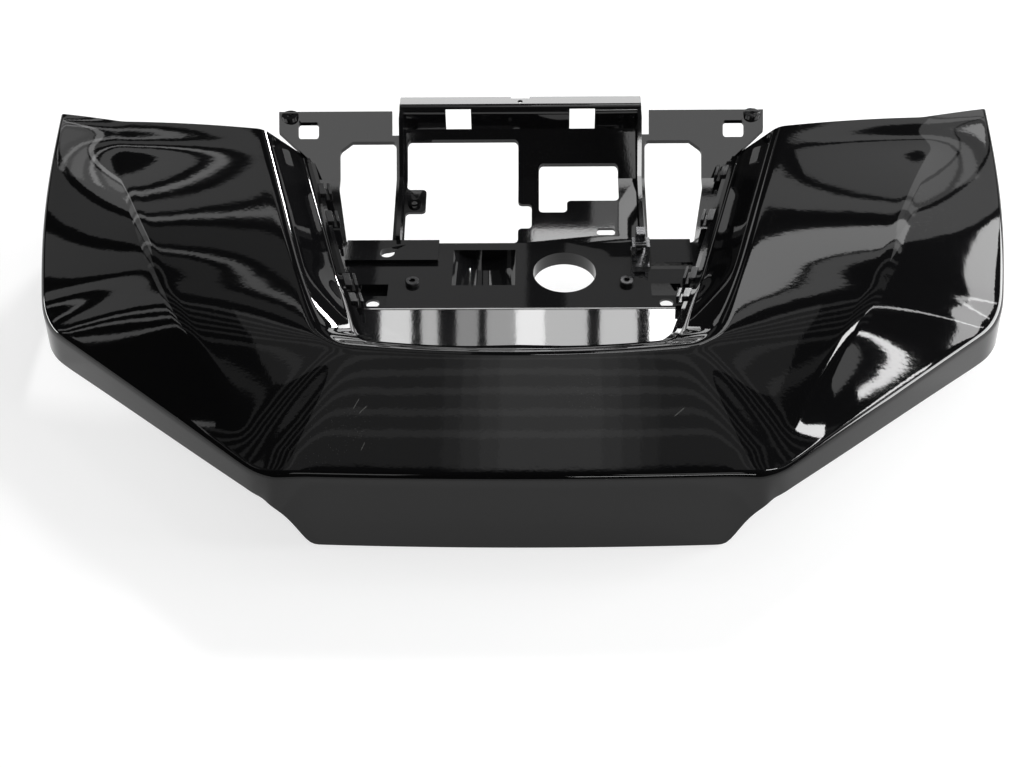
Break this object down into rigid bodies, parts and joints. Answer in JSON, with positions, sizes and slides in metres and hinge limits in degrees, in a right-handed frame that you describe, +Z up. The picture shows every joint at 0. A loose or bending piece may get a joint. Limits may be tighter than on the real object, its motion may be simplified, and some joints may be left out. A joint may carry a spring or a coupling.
{
  "type": "vehicle front cover panel",
  "caption": "Gloss black front cover panel: horseshoe shell with creased wings and a deep lip, round an inner tray with windows, access hole, rails and clips.",
  "frame": {"origin": "middle of the footprint, at the height of the lip's lower edge", "axes": "+X to the right along the lip as seen from the front, +Y to the rear, +Z up"},
  "size_m": [0.9172, 0.445, 0.16],
  "materials": {
    "shell_gloss": "high gloss, clear coated",
    "tray_gloss": "gloss as moulded",
    "screw_black": "black satin",
    "clip_black": "satin",
    "latch_steel": "bright spring steel"
  },
  "bodies": {
    "root": {"cover_shell": "shell_gloss", "inner_tray": "tray_gloss", "tray_screws": "screw_black", "left_edge_clips": "clip_black", "right_edge_clips": "clip_black", "latch_clip": "latch_steel"}
  },
  "joints": []
}
